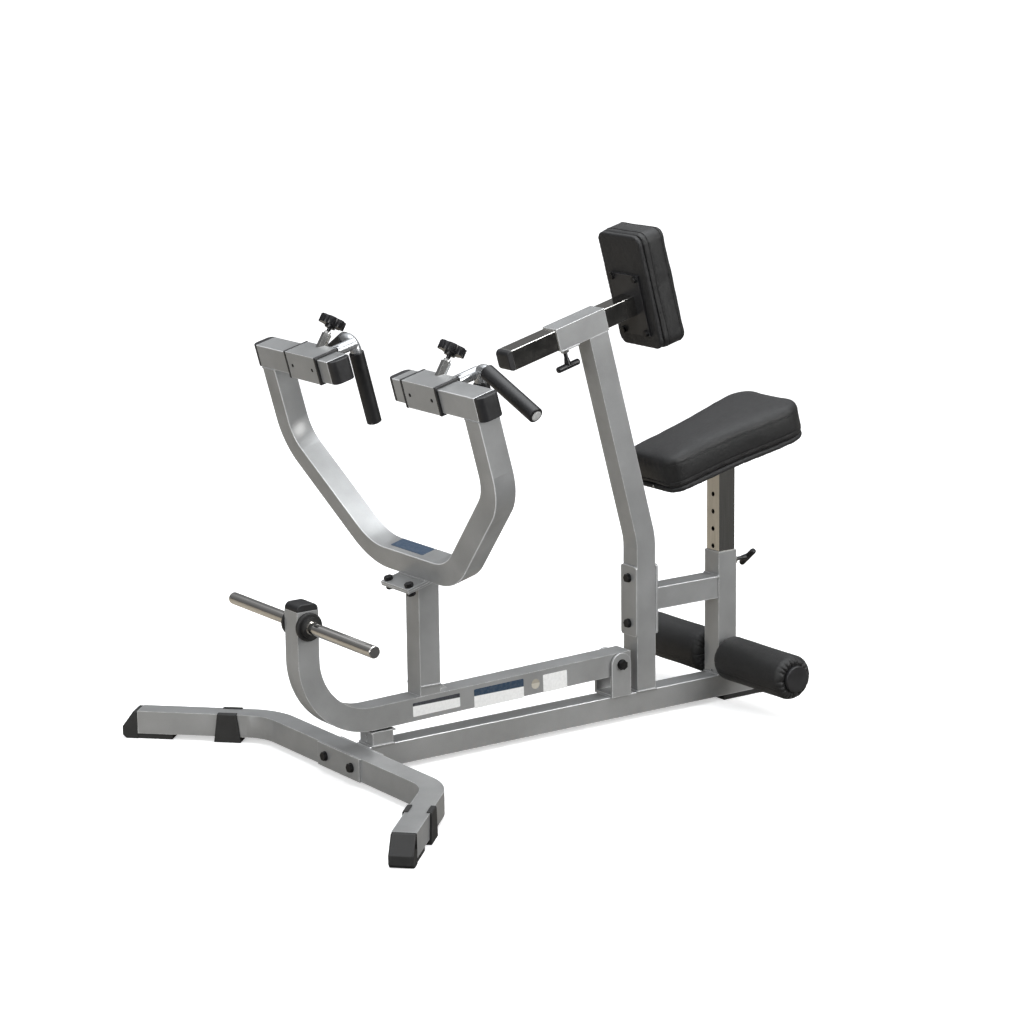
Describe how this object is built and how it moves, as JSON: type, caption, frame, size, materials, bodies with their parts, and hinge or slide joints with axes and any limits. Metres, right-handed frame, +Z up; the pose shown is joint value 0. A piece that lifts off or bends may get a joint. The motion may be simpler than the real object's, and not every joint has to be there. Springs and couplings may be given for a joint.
{
  "type": "plate-loaded seated row machine",
  "caption": "Plate-loaded seated row machine: lever arm with yoke and sliding handle carriages, adjustable chest pad and seat, foam leg rollers and a weight horn.",
  "frame": {"origin": "on the floor, under the middle of the machine's bounding box", "axes": "+X along the base from the weight horn towards the seat, +Y to the left of someone who stands at the weight horn and looks along +X, +Z up"},
  "size_m": [1.4282, 1.161, 1.1101],
  "materials": {
    "frame_paint": "silver-grey metallic powder coat",
    "black_paint": "black powder coat",
    "black_bolts": "black oxide hex bolts and nuts",
    "foot_rubber": "moulded black rubber",
    "chrome_posts": "bright chrome plate",
    "plated_steel": "zinc plated",
    "handle_silver": "bright silver paint",
    "black_plastic": "moulded black plastic",
    "knob_plastic": "black plastic over a steel pin",
    "grip_rubber": "smooth black foam rubber",
    "black_vinyl": "black upholstery vinyl over foam",
    "pad_board": "plywood board wrapped in black vinyl",
    "collar_rubber": "black rubber plate stop"
  },
  "bodies": {
    "frame": {"base_beam": "frame_paint", "cross_tube": "frame_paint", "joint_plates": "frame_paint", "joint_bolts": "black_bolts", "end_feet": "foot_rubber", "saddle_feet": "foot_rubber", "rear_foot": "foot_rubber", "stop_post": "frame_paint", "stop_bumper": "foot_rubber", "pivot_bracket": "frame_paint", "pivot_bolt": "black_bolts", "main_upright": "frame_paint", "upright_plates": "frame_paint", "upright_bolts": "black_bolts", "chest_sleeve": "frame_paint", "chest_pin_boss": "plated_steel", "seat_tube": "frame_paint", "seat_pin_boss": "plated_steel", "seat_frame_tube": "frame_paint", "roller_bar": "plated_steel", "roller_caps": "black_plastic"},
    "chest": {"chest_post": "chrome_posts", "chest_post_cap": "black_plastic", "chest_plate": "black_paint", "chest_board": "pad_board", "chest_cushion": "black_vinyl", "chest_bolts": "black_bolts"},
    "chest_pull_pin": {"chest_pin": "knob_plastic"},
    "seat": {"seat_post": "chrome_posts", "seat_plate": "black_paint", "seat_board": "pad_board", "seat_cushion": "black_vinyl", "seat_bolts": "black_bolts"},
    "seat_pull_pin": {"seat_pin": "knob_plastic"},
    "roller_left_body": {"roller_left": "black_vinyl"},
    "roller_right_body": {"roller_right": "black_vinyl"},
    "swing": {"swing_beam": "frame_paint", "weight_horn": "chrome_posts", "horn_collars": "collar_rubber", "weight_post_cap": "black_plastic", "swing_upright": "frame_paint", "yoke_flange": "frame_paint", "flange_bolts": "black_bolts", "yoke": "frame_paint", "handle_rail_left": "frame_paint", "handle_rail_right": "frame_paint", "rail_caps": "black_plastic"},
    "handle_carriage_left": {"carriage_left": "frame_paint", "liners_left": "black_plastic", "handle_left": "handle_silver", "grips_left": "grip_rubber", "plunger_barrel_left": "plated_steel"},
    "plunger_body_left": {"plunger_left": "knob_plastic"},
    "handle_carriage_right": {"carriage_right": "frame_paint", "liners_right": "black_plastic", "handle_right": "handle_silver", "grips_right": "grip_rubber", "plunger_barrel_right": "plated_steel"},
    "plunger_body_right": {"plunger_right": "knob_plastic"}
  },
  "joints": [
    {"name": "arm_swing", "type": "hinge", "parent": "frame", "child": "swing", "pos_m": [0.2295, 0, 0.1366], "axis": [0, 1, 0], "range_deg": [0, 45]},
    {"name": "chest_pad_slide", "type": "slide", "parent": "frame", "child": "chest", "axis": [0.9659, 0, 0.2588], "range_m": [-0.075, 0.09]},
    {"name": "chest_pin_pull", "type": "slide", "parent": "frame", "child": "chest_pull_pin", "axis": [0.2588, 0, -0.9659], "range_m": [0, 0.01], "stiffness_N_per_m": 600, "springref_m": -0.005},
    {"name": "seat_height", "type": "slide", "parent": "frame", "child": "seat", "axis": [0, 0, 1], "range_m": [-0.08, 0.04]},
    {"name": "seat_pin_pull", "type": "slide", "parent": "frame", "child": "seat_pull_pin", "axis": [1, 0, 0], "range_m": [0, 0.01], "stiffness_N_per_m": 600, "springref_m": -0.005},
    {"name": "roller_left_spin", "type": "hinge", "parent": "frame", "child": "roller_left_body", "pos_m": [0.5365, 0.147, 0.103], "axis": [0, 1, 0], "continuous": true},
    {"name": "roller_right_spin", "type": "hinge", "parent": "frame", "child": "roller_right_body", "pos_m": [0.5365, -0.147, 0.103], "axis": [0, 1, 0], "continuous": true},
    {"name": "carriage_slide_left", "type": "slide", "parent": "swing", "child": "handle_carriage_left", "axis": [0, 1, 0], "range_m": [-0.038, 0.07]},
    {"name": "plunger_pull_left", "type": "slide", "parent": "handle_carriage_left", "child": "plunger_body_left", "axis": [0.5, 0, 0.866], "range_m": [0, 0.008], "stiffness_N_per_m": 600, "springref_m": -0.005},
    {"name": "carriage_slide_right", "type": "slide", "parent": "swing", "child": "handle_carriage_right", "axis": [0, -1, 0], "range_m": [-0.038, 0.07]},
    {"name": "plunger_pull_right", "type": "slide", "parent": "handle_carriage_right", "child": "plunger_body_right", "axis": [0.5, 0, 0.866], "range_m": [0, 0.008], "stiffness_N_per_m": 600, "springref_m": -0.005}
  ]
}
